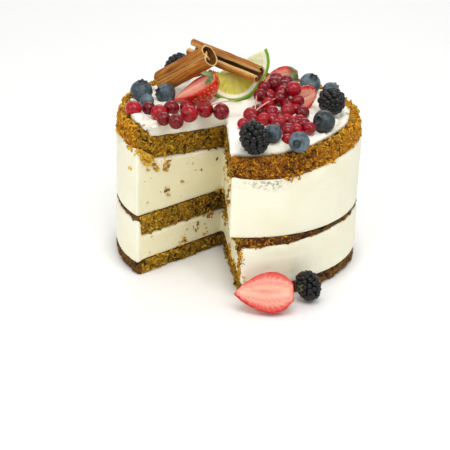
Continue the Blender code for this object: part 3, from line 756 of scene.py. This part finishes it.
def blueberries(material, rng):
    """Every blueberry with its five-lobed crown round a shallow cup."""
    for node in numbered("blueberry_"):
        corners = np.unique(points_of(SOLIDS[node].data).round(7), axis=0)
        low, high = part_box(node)
        middle = 0.5 * (np.array(low) + np.array(high))
        crown = corners.mean(0) - middle
        radius = 0.5 * max(high - low)
        body = [(math.sin(a), -math.cos(a) * 0.93) for a in np.linspace(0.0, math.pi * 0.80, 22)]
        outline = body + [(0.50, 0.83), (0.44, 0.90), (0.40, 0.965), (0.37, 0.955), (0.335, 0.86),
                          (0.28, 0.80), (0.16, 0.77), (0.0, 0.78)]
        first_lobe = len(body) - 1

        def lobes(index, turn, r, z):
            share = max(0.0, 1.0 - abs(index - first_lobe - 2) / 2.2)
            wave = math.cos(CROWN_LOBES * turn) * share
            return r + 0.05 * wave, z + 0.055 * wave

        points, faces = turned_shape(outline, 40, lobes)
        points *= 0.985 * radius
        height = points[:, 2] / radius
        wide = from_axis(points) / radius
        cup = soft_step(height, 0.70, 0.8) * (1.0 - soft_step(wide, 0.33, 0.46))
        points += 0.012 * radius * grain(points, 4 * MM, SEED)[:, None] * points / radius
        turned = points @ facing(crown, rng.uniform(0, 6)).T + middle
        # Less bloom at random from berry to berry and towards the end away from the crown; on the shaded berry the
        # extra darkness is painted shade.
        notes = {"crown": cup, "bare": rng.uniform(0.1, 0.6) + 0.6 * soft_step(-height, 0.2, 0.8)
                 + (1.0 if node == SHADED_BERRY else 0.0)}
        new_piece("ripe_" + node, join_shapes([(turned, faces, notes)]), material, (node,))


def redcurrants(skin, tail, rng):
    """All redcurrants as one piece, and the dried flowers at their tips as another."""
    balls = []
    tails = []
    dot = [(math.sin(a), -math.cos(a)) for a in np.linspace(0.0, math.pi, 15)]
    tuft = [(0.0, -0.4), (0.5, -0.3), (0.62, 0.1), (0.9, 0.9), (0.55, 1.15), (0.2, 0.7), (0.0, 0.6)]
    nodes = numbered("redcurrant_")
    loose = nodes[:LOOSE_BERRIES]
    berries = [(node, *middle_and_radius(node)) for node in nodes]
    for trio in BURIED_BETWEEN:
        spots = [middle_and_radius(f"redcurrant_{number}")[0] for number in trio]
        berries.append(("buried", sum(spots, Vector()) / 3.0 + BURIED_SHIFT, BURIED_RADIUS))
    for node, middle, radius in berries:
        tip = Vector((rng.normal(0, 0.6), rng.normal(-0.55, 0.6), rng.normal(0.15, 0.5))).normalized()
        turn = facing(tip)
        points, faces = turned_shape(dot, 24)
        angle = np.arctan2(points[:, 1], points[:, 0])
        level = 1.0 - np.abs(points[:, 2]) * 0.7
        plump = LOOSE_PLUMP if node in loose else HEAP_PLUMP
        placed = (points * radius * plump * (1.0, 1.0, 0.97)) @ turn.T + np.array(middle)
        balls.append((placed, faces, {"turn": angle, "level": level, "tone": rng.uniform(0.1, 0.9)}))

        def ragged(index, around, r, z):
            return r * (1.0 + 0.25 * math.cos(5.0 * around)), z * (1.0 + 0.15 * math.cos(5.0 * around))

        points, faces = turned_shape(tuft, 10, ragged)
        points = points * 0.95 * MM + (0.0, 0.0, 0.955 * radius)
        tails.append((points @ turn.T + np.array(middle), faces, {}))
    new_piece("ripe_redcurrants", join_shapes(balls), skin, nodes)
    new_piece("redcurrant_tails", join_shapes(tails), tail)


def long_axis(points):
    """Middle and longest direction of a cloud of points."""
    middle = 0.5 * (points.min(0) + points.max(0))
    spread = points - points.mean(0)
    return middle, np.linalg.svd(spread, full_matrices=False)[2][0]


def drupelet_tree():
    """A bead on each point of the bed, sized by its "size" mark."""
    tree, feed, out = new_tree("drupelets", (("Bead", "Float"), ("Finish", "Material")))
    size = add_node(tree, "GeometryNodeInputNamedAttribute", {"data_type": "FLOAT"}, {"Name": "size"})
    scale = add_node(tree, "ShaderNodeMath", {"operation": "MULTIPLY"}, {0: size, 1: feed["Bead"]})
    bead = add_node(tree, "GeometryNodeMeshIcoSphere", {}, {"Radius": 1.0, "Subdivisions": 3})
    beads = add_node(tree, "GeometryNodeInstanceOnPoints", {},
                     {"Points": feed["Bed"], "Instance": bead, "Scale": scale})
    return ended_tree(tree, out, toned_and_real(tree, beads, 5), feed["Finish"])


def brambles(material, leaf_finish, rng):
    """Each bramble: rings of drupelets, staggered ring by ring, over an egg-shaped core."""
    tree = drupelet_tree()
    for node in numbered("bramble_"):
        middle, axis = long_axis(points_of(SOLIDS[node].data))
        if axis @ np.array((0.0, -0.5, 1.0)) < 0.0:
            axis = -axis
        spokes = points_of(SOLIDS[node].data) - middle
        along = spokes @ axis
        half = 0.5 * (along.max() - along.min())
        wide = 0.93 * np.linalg.norm(spokes - np.outer(along, axis), axis=1).max()
        bead = 0.24 * wide
        spots = []
        sizes = []
        rows = 8
        for row in range(rows):
            polar = math.pi * (row + 0.45) / rows
            girth = (wide - bead) * math.sin(polar) ** 0.75
            count = max(1, round(2.0 * math.pi * girth / (1.72 * bead)))
            for step in range(count):
                turn = 2.0 * math.pi * (step + 0.5 * (row % 2)) / count + rng.normal(0, 0.06)
                spots.append((girth * math.cos(turn), girth * math.sin(turn), (bead - half) * math.cos(polar)))
                sizes.append(rng.uniform(0.92, 1.16))
        spots = np.array(spots) @ facing(axis).T + middle
        bed = mesh_from(spots, [])
        mark(bed, "size", sizes)
        beads = grow(tree, bed, {"Bead": bead, "Finish": material})
        new_piece("ripe_" + node, beads, material, (node,))
        core_outline = [(math.sin(a) * (wide - 1.1 * bead), -math.cos(a) * (half - 1.1 * bead))
                        for a in np.linspace(0.0, math.pi, 12)]
        points, faces = turned_shape(core_outline, 18)
        core = join_shapes([(points @ facing(axis).T + middle, faces, {"tone": 0.0})])
        new_piece("core_of_" + node, core, material)
        if node == "bramble_4":
            stem = np.array((-0.95, -0.35, 0.15))
            leaves("sepals_of_" + node, middle + 0.95 * wide * stem / np.linalg.norm(stem), stem,
                   np.array((0.0, -0.8, 0.6)), 5, 6 * MM, 3 * MM, leaf_finish, rng)


def cut_face_of(node):
    """Place and directions of a halved fruit: middle of the cut, out of the cut, and along it."""
    mesh = SOLIDS[node].data
    points = points_of(mesh)
    mesh.calc_loop_triangles()
    corners = np.array([t.vertices for t in mesh.loop_triangles])
    first, second, third = (points[corners[:, index]] for index in range(3))
    cross = np.cross(second - first, third - first)
    area = np.linalg.norm(cross, axis=1)
    unit = cross / np.maximum(area, 1e-12)[:, None]
    totals = [area[(unit @ n) > 0.9999].sum() for n in unit]
    out = unit[int(np.argmax(totals))]
    level = (points @ out).max()
    rim = points[(points @ out) > level - 1e-5]
    middle, along = long_axis(rim)
    return middle, out, along, rim


def strawberries(flesh, seed_finish, leaf_finish, rng):
    """Halved strawberries: a hollow, veined cut, a dented skin set with seeds, and their leaves."""
    tree = seed_tree()
    for node in numbered("strawberry_"):
        middle, out, along, rim = cut_face_of(node)
        across = np.cross(out, along)
        # The stem end is the blunter one: more of the rim lies beyond the widest place.
        u = (rim - middle) @ along
        v = np.abs((rim - middle) @ across)
        if u[np.argmax(v)] < 0.0:
            along, across, u = -along, -across, -u
        length = u.max() - u.min()
        half_width = v.max()
        mesh = fine_copy(node, 0.45 * MM, 3)
        points, normals = points_of(mesh), points_of(mesh, "normal")
        share = ((points - middle) @ along - u.min()) / length
        side = np.abs((points - middle) @ across) / half_width
        girth = np.interp(share, np.sort((u - u.min()) / length), v[np.argsort(u)] / half_width)
        edge = np.clip(side / np.maximum(girth, 0.08), 0.0, 1.2)
        ends = soft_step(np.abs(share - 0.52), 0.36, 0.52)
        edge = np.maximum(edge, ends)
        cut = soft_step(normals @ out, 0.75, 0.95)
        turn = np.arctan2((points - middle) @ across, (points - middle) @ along)
        veins = np.sin(26.0 * turn + 2.5 * grain(points, 6 * MM, SEED + 20))
        hollow = np.exp(-(((share - 0.55) / 0.24) ** 2 + (side / 0.1) ** 2))
        dents = 0.25 * grain(points, 3 * MM, SEED + 21)
        lift = cut * (0.06 * veins - 1.2 * hollow + dents * 0.5) + (1.0 - cut) * dents
        move_points(mesh, points + normals * (lift * MM)[:, None])
        mark(mesh, "cut", cut)
        mark(mesh, "edge", np.clip(0.95 * edge ** 1.8 + 0.15 * hollow, 0.0, 1.0))
        mark(mesh, "vein", veins * soft_step(edge, 0.15, 0.5) * (1.0 - soft_step(edge, 0.8, 0.95)))
        mark(mesh, "shown", 1.0 - soft_step(normals @ out, -0.1, 0.3))
        seeds = grow(tree, mesh, {"Spacing": 2.6 * MM, "Size": 0.62 * MM, "Seed": 4, "Finish": seed_finish})
        mesh.attributes.remove(mesh.attributes["shown"])
        new_piece("halved_" + node, mesh, flesh, (node,))
        if node in LEAFY:
            stem_end = middle + along * (0.46 * length)
            leaves("leaves_of_" + node, stem_end, along, LEAFY[node], 4, 9 * MM, 4.6 * MM, leaf_finish,
                   rng)
        if len(seeds.vertices):
            drop_marks(seeds)
            new_piece("seeds_of_" + node, seeds, seed_finish)


def leaf(root, along, out, length, width, curl):
    """One pointed sepal: a thin closed blade that starts at root and curls back along its length."""
    along = along / np.linalg.norm(along)
    out = out - (out @ along) * along
    out = out / np.linalg.norm(out)
    across = np.cross(along, out)
    steps = 7
    upper = []
    lower = []
    for step in range(steps + 1):
        share = step / steps
        half = 0.5 * width * math.sin(math.pi * (0.12 + 0.86 * share)) ** 0.8
        middle = root + along * (length * share) + out * (curl * length * (share - share ** 2.2))
        for side in (-1.0, -0.5, 0.0, 0.5, 1.0):
            spot = middle + across * (side * half) + out * (0.1 * width * side * side)
            upper.append(spot + out * 0.15 * MM)
            lower.append(spot - out * 0.15 * MM)
    count = len(upper)
    faces = []
    for step in range(steps):
        for col in range(4):
            a = step * 5 + col
            faces.append((a, a + 1, a + 6, a + 5))
            faces.append((count + a + 5, count + a + 6, count + a + 1, count + a))
        for col, flip in ((0, False), (4, True)):
            a = step * 5 + col
            rim = (a, a + 5, count + a + 5, count + a)
            faces.append(rim[::-1] if flip else rim)
    for row, flip in ((0, True), (steps * 5, False)):
        for col in range(4):
            a = row + col
            rim = (a, a + 1, count + a + 1, count + a)
            faces.append(rim[::-1] if flip else rim)
    return np.array(upper + lower), faces, {}


def leaves(name, root, stem, facing_out, count, length, width, finish, rng):
    """A rosette of sepals round a stem end, lying back over the fruit."""
    stem = stem / np.linalg.norm(stem)
    side = facing_out - (facing_out @ stem) * stem
    side = side / np.linalg.norm(side)
    other = np.cross(stem, side)
    blades = []
    for index in range(count):
        turn = math.radians(-62.0 + 124.0 * index / max(1, count - 1)) + rng.normal(0, 0.12)
        outwards = side * math.cos(turn) + other * math.sin(turn)
        back = outwards * 0.75 - stem * rng.uniform(0.5, 0.9)
        blades.append(leaf(root + outwards * 0.12 * length, back, outwards + stem * 0.6,
                           length * rng.uniform(0.85, 1.1), width, 0.25))
    new_piece(name, join_shapes(blades), finish)


def stalk(name, path, thick, finish):
    """A thin currant stalk: a closed round tube along a path, a little thinner at its end."""
    path = np.array(path)
    sides = 8
    vertices = []
    faces = []
    for index, spot in enumerate(path):
        run = path[min(index + 1, len(path) - 1)] - path[max(index - 1, 0)]
        run = run / np.linalg.norm(run)
        one = np.cross(run, (0.3, 0.2, 1.0))
        one = one / np.linalg.norm(one)
        two = np.cross(run, one)
        size = thick * (1.0 - 0.35 * index / (len(path) - 1))
        for side in range(sides):
            turn = 2.0 * math.pi * side / sides
            vertices.append(spot + (one * math.cos(turn) + two * math.sin(turn)) * size)
    for ring in range(len(path) - 1):
        for side in range(sides):
            a = ring * sides + side
            b = ring * sides + (side + 1) % sides
            faces.append((a, b, b + sides, a + sides))
    last = (len(path) - 1) * sides
    faces.append(tuple(reversed(range(sides))))
    faces.append(tuple(range(last, last + sides)))
    new_piece(name, mesh_from(vertices, faces), finish)


def stalks(finish):
    """Stalks of the two sprigs: each bows from one berry over to the next."""
    toward = np.array((0.0, -0.75, 0.65))
    for name, start, end, bow in (("stalk_right_long", "redcurrant_23", "redcurrant_17", 5.0),
                                  ("stalk_right_short", "redcurrant_23", "redcurrant_16", 3.0),
                                  ("stalk_left", "redcurrant_09", "redcurrant_10", 6.5)):
        first, radius = middle_and_radius(start)
        second, other = middle_and_radius(end)
        first = np.array(first) + np.array((0.6, -0.2, 0.6)) * radius
        second = np.array(second) + np.array((-0.6, -0.6, 0.2)) * other
        if name == "stalk_left":
            second = second + np.array((13.0, 3.0, 6.0)) * MM
        path = [first + (second - first) * t + toward * (bow * MM * 4.0 * t * (1.0 - t) * 0.5) for t in
                np.linspace(0.0, 1.0, 9)]
        stalk(name, path, 0.55 * MM, finish)


def seed_tree():
    """Strawberry seeds: flat grains set evenly over the skin, pressed into it."""
    tree, feed, out = new_tree("seeds", (("Spacing", "Float"), ("Size", "Float"), ("Seed", "Int"),
                                         ("Finish", "Material")))
    shown = add_node(tree, "GeometryNodeInputNamedAttribute", {"data_type": "FLOAT"}, {"Name": "shown"})
    strewn = add_node(tree, "GeometryNodeDistributePointsOnFaces", {"distribute_method": "POISSON"},
                      {"Mesh": feed["Bed"], "Distance Min": feed["Spacing"], "Density Max": 400000.0,
                       "Density Factor": shown, "Seed": feed["Seed"]})
    grain_shape = add_node(tree, "GeometryNodeMeshIcoSphere", {}, {"Radius": 1.0, "Subdivisions": 2})
    drop = add_node(tree, "GeometryNodeTransform", {}, {"Geometry": grain_shape,
                                                        "Scale": (0.62, 1.0, 0.45)})
    seeds = add_node(tree, "GeometryNodeInstanceOnPoints", {},
                     {"Points": strewn, "Instance": drop,
                      "Rotation": strewn.outputs["Rotation"], "Scale": feed["Size"]})
    real = add_node(tree, "GeometryNodeRealizeInstances", {}, {0: seeds})
    return ended_tree(tree, out, real, feed["Finish"])


def lime_slices(finishes):
    """Half slices of lime: juice sacs in five wedges, their walls, the pith and the rind."""
    for node, finish in zip(numbered("lime_"), finishes):
        middle, out, along, rim = cut_face_of(node)
        if out[1] > 0.0:
            middle = middle - out * thickness_along(node, out)
            out = -out
        u = (rim - rim.mean(0)) @ along
        centre = 0.5 * (rim[np.argmax(u)] + rim[np.argmin(u)])
        radius = 0.5 * (u.max() - u.min())
        down = rim.mean(0) - centre
        down -= (down @ along) * along + (down @ out) * out
        down /= np.linalg.norm(down)
        mesh = fine_copy(node, 0.4 * MM, 2)
        points, normals = points_of(mesh), points_of(mesh, "normal")
        x = (points - centre) @ along / radius
        y = (points - centre) @ down / radius
        reach = np.hypot(x, y)
        turn = np.arctan2(y, x)
        wedge = (turn / (math.pi / 5.0)) % 1.0
        wall = 1.0 - soft_step(np.minimum(wedge, 1.0 - wedge) * reach, 0.012, 0.035)
        core = 1.0 - soft_step(reach, 0.06, 0.12)
        pith_ring = soft_step(reach, 0.74, 0.82)
        rind = soft_step(reach, 0.88, 0.93)
        flat = soft_step(np.abs(normals @ out), 0.7, 0.9)
        pith = np.clip(np.maximum(np.maximum(0.16 * wall, 0.3 * core), pith_ring), 0.0, 1.0)
        sac_place = np.stack((turn * 9.0, reach * 3.2, points @ out / radius), axis=1)
        sacs = grain(sac_place, 0.55, SEED + 30)
        oily_pits = rind * 0.08 * MM * grain(points, 1.1 * MM, SEED + 31)
        lift = flat * (1.0 - pith) * (0.25 * sacs - 0.25) * MM + oily_pits
        move_points(mesh, points + normals * lift[:, None])
        mark(mesh, "pith", pith)
        mark(mesh, "rind", np.maximum(rind, (1.0 - flat) * soft_step(reach, 0.9, 0.96)))
        mark(mesh, "sacs", 0.5 + 0.5 * sacs)
        new_piece("slice_" + node, mesh, finish, (node,))


def thickness_along(node, direction):
    """How thick a solid is in one direction."""
    reach = points_of(SOLIDS[node].data) @ direction
    return reach.max() - reach.min()


def cinnamon_quills(material):
    """Rolled bark: fibres and waves, pale long edges and slightly ragged ends on each quill."""
    for node in ("quill_closed", "quill_open"):
        middle, along = long_axis(points_of(SOLIDS[node].data))
        mesh = fine_copy(node, 0.4 * MM, 2)
        points, normals = points_of(mesh), points_of(mesh, "normal")
        run = (points - middle) @ along
        axis_line = middle + np.outer(run, along)
        spoke = points - axis_line
        reach = np.linalg.norm(spoke, axis=1)
        stretched = spoke + np.outer(run * 0.07, along)
        fibre = grain(stretched, 0.8 * MM, SEED + 40)
        waves = grain(points, 9 * MM, SEED + 41)
        outward = np.einsum("ij,ij->i", normals, spoke) / np.maximum(reach, 1e-9)
        ends = soft_step(np.abs(run), np.abs(run).max() - 0.9 * MM, np.abs(run).max() - 0.1 * MM)
        lift = (0.14 * fibre + 0.3 * waves) * MM
        points = points + normals * lift[:, None]
        ragged = grain(spoke, 2.5 * MM, SEED + 42)
        points = points - np.outer(np.sign(run) * ends * (0.6 + 0.6 * ragged) * MM, along)
        move_points(mesh, points)
        mark(mesh, "fibre", 0.35 + 0.3 * fibre)
        mark(mesh, "inside", soft_step(-outward, 0.1, 0.6) * 0.8)
        mark(mesh, "edge", np.maximum(ends, 1.0 - soft_step(np.abs(outward), 0.3, 0.75)))
        new_piece("bark_" + node, mesh, material, (node,))


# ---------------------------------------------------------------- building the cake

def build_cake():
    rng = np.random.default_rng(SEED)
    # In each sponge the fifth colour is the painted shade of its pores and hollows.
    # The last number of each sponge is how much paler its sides are painted, as painted light.
    top_sponge = carrot_sponge("baked_carrot_sponge_top", ("#63350a", "#9c5c10", "#cf951f"),
                               ("#6b5012", "#aa821a"), "#cf951f", "#241203", 0.45)
    mid_sponge = carrot_sponge("baked_carrot_sponge_inner", ("#3a1f08", "#5c3611", "#8a5a1e"),
                               ("#685010", "#a67e18"), "#bf9226", "#241503", 0.1)
    shreds = sponge_crumbs("torn_sponge_shreds", ((0.0, "#4a2404"), (0.3, "#874c08"), (0.6, "#b9790e"),
                                                  (1.0, "#e0a222")))
    inner_shreds = sponge_crumbs("inner_sponge_shreds", ((0.0, "#52390a"), (0.35, "#967012"),
                                                         (0.7, "#bf9622"), (1.0, "#e0b63c")))
    wall_cream = cream_cheese_frosting("spread_frosting", "#f6f3dc", "#f2eed3", "#7d735a")
    top_cream = cream_cheese_frosting("whipped_frosting", "#fffdf0", "#faf5e3", "#b89a5a")

    tree = shred_tree()
    bottom = sponge_layer("sponge_base", "sponge_bottom", 0.9 * MM, 0.7 * MM, mid_sponge)
    middle = sponge_layer("sponge_centre", "sponge_middle", 0.9 * MM, 0.75 * MM, mid_sponge)
    top = sponge_layer("sponge_lid", "sponge_top", 0.9 * MM, 1.15 * MM, top_sponge)
    gold_crumbs = sponge_crumbs("golden_sponge_crumbs",
                                ((0.0, "#8f5e0c"), (0.35, "#c48d18"), (1.0, "#ecc04a")))
    for sponge in (top, middle, bottom):
        split_shown(sponge.data)
    lower = cream_layer("frosting_lower", "cream_lower", 1.1 * MM, wall_cream)
    upper = cream_layer("frosting_upper", "cream_upper", 1.1 * MM, wall_cream, 9 * MM)
    frosting = cream_on_top("cream_top", top_cream)
    # Name, bed, finish, count for each mm2, smallest and largest size in mm, seed, and the mark it follows.
    for name, bed, finish, density, smallest, largest, seed, where in (
            ("crust_shreds_on_lid", top, shreds, 0.85, 0.5, 1.25, 11, "band"),
            ("tatters_on_lid", top, shreds, 0.75, 1.0, 2.3, 22, "tatter"),
            ("shreds_on_lid", top, inner_shreds, 0.6, 0.4, 1.1, 14, "face"),
            ("lumps_on_lid", top, inner_shreds, 0.1, 1.2, 2.2, 21, "face"),
            ("shreds_on_centre", middle, inner_shreds, 0.7, 0.4, 1.1, 12, "face"),
            ("lumps_on_centre", middle, inner_shreds, 0.1, 1.2, 2.2, 32, "face"),
            ("shreds_on_base", bottom, inner_shreds, 0.7, 0.4, 1.1, 13, "face"),
            ("lumps_on_base", bottom, inner_shreds, 0.1, 1.2, 2.2, 33, "face"),
            ("crust_shreds_on_centre", middle, shreds, 1.1, 0.6, 1.6, 18, "corner"),
            ("crumbs_on_lower_cream", lower, gold_crumbs, 1.1, 0.5, 1.7, 15, "crumbs"),
            ("crumbs_on_upper_cream", upper, gold_crumbs, 2.0, 0.6, 1.9, 16, "crumbs"),
            ("chunks_on_upper_cream", upper, inner_shreds, 0.3, 1.6, 2.8, 19, "crumbs"),
            ("chunks_on_lower_cream", lower, inner_shreds, 0.06, 1.4, 2.4, 20, "crumbs"),
            ("crumbs_on_top_cream", frosting, gold_crumbs, 0.9, 0.4, 1.3, 17, "crumbs")):
        strew(name, tree, bed.data, finish, density, smallest, largest, seed, where)

    blueberries(blueberry_skin(), rng)
    redcurrants(redcurrant_skin(), simple_finish("dried_flower", "#4a2f16", "#8a6a3a", 0.6 * MM, 0.8), rng)
    leaf_finish = simple_finish("fruit_leaf", "#566b34", "#8c9a62", 3 * MM, 0.6)
    brambles(bramble_skin(), leaf_finish, rng)
    seed_finish = simple_finish("strawberry_seed", "#c9a044", "#e3c468", 0.8 * MM, 0.5)
    strawberries(strawberry_flesh(), seed_finish, leaf_finish, rng)
    lime_slices((lime_slice_finish("lime_flesh", "#c4bb20", "#e0d956"),
                 lime_slice_finish("pale_lime_flesh", "#e6ebb8", "#f1f3cf")))
    cinnamon_quills(cinnamon_bark())
    stalks(simple_finish("currant_stalk", "#d88a7c", "#e9b28f", 2 * MM, 0.5))


# ---------------------------------------------------------------- studio

def studio():
    """A pale floor, white soft lamps and the camera."""
    floor = mesh_from([(-4, -4, 0), (4, -4, 0), (4, 4, 0), (-4, 4, 0)], [(0, 1, 2, 3)])
    base = bpy.data.objects.new("floor", floor)
    bpy.context.collection.objects.link(base)
    base.location.z = -FLOOR_GAP
    material = new_material("pale_floor")[0]
    floor.materials.append(finished(material, {"Base Color": colour("#fdfdfb"), "Roughness": 0.6}))

    world = bpy.data.worlds.new("white_room")
    world.use_nodes = True
    world.node_tree.nodes["Background"].inputs["Color"].default_value = (1.0, 1.0, 1.0, 1.0)
    world.node_tree.nodes["Background"].inputs["Strength"].default_value = ROOM_LIGHT
    bpy.context.scene.world = world

    target = Vector((0.0, 0.0, 0.5 * CAKE_TOP))
    # Each lamp's place, width and height in metres, and its power in watts.
    lamps = (("key", (0.55, -0.75, 1.15), 0.7, 0.7, 3.0),
             ("fill", (-1.0, -0.7, 0.8), 0.8, 0.8, 3.6),
             ("back", (0.1, 1.0, 1.0), 0.9, 0.5, 4.0),
             ("strip_one", (-0.12, -0.35, 0.75), 0.05, 0.6, 0.8),
             ("strip_two", (0.03, -0.35, 0.75), 0.05, 0.6, 0.8),
             ("strip_three", (0.18, -0.35, 0.75), 0.05, 0.6, 0.8))
    for name, place, wide, tall, watts in lamps:
        light = bpy.data.lights.new(name, "AREA")
        light.shape = "RECTANGLE"
        light.size = wide
        light.size_y = tall
        light.energy = watts
        lamp = bpy.data.objects.new(name, light)
        bpy.context.collection.objects.link(lamp)
        lamp.location = place
        lamp.rotation_euler = (target - Vector(place)).to_track_quat("-Z", "Y").to_euler()

    data = bpy.data.cameras.new("camera")
    data.lens = CAMERA_LENS
    data.sensor_width = 36.0
    camera = bpy.data.objects.new("camera", data)
    bpy.context.collection.objects.link(camera)
    camera.location = CAMERA_PLACE
    level_right = Vector((1.0, 0.0, 0.0))
    right = math.cos(CAMERA_ROLL) * level_right + math.sin(CAMERA_ROLL) * CAMERA_LEVEL_UP
    up = -math.sin(CAMERA_ROLL) * level_right + math.cos(CAMERA_ROLL) * CAMERA_LEVEL_UP
    camera.rotation_euler = Matrix((right, up, -CAMERA_LOOK)).transposed().to_euler()
    bpy.context.scene.camera = camera
    bpy.context.scene.view_settings.view_transform = "Standard"


build_cake()
studio()
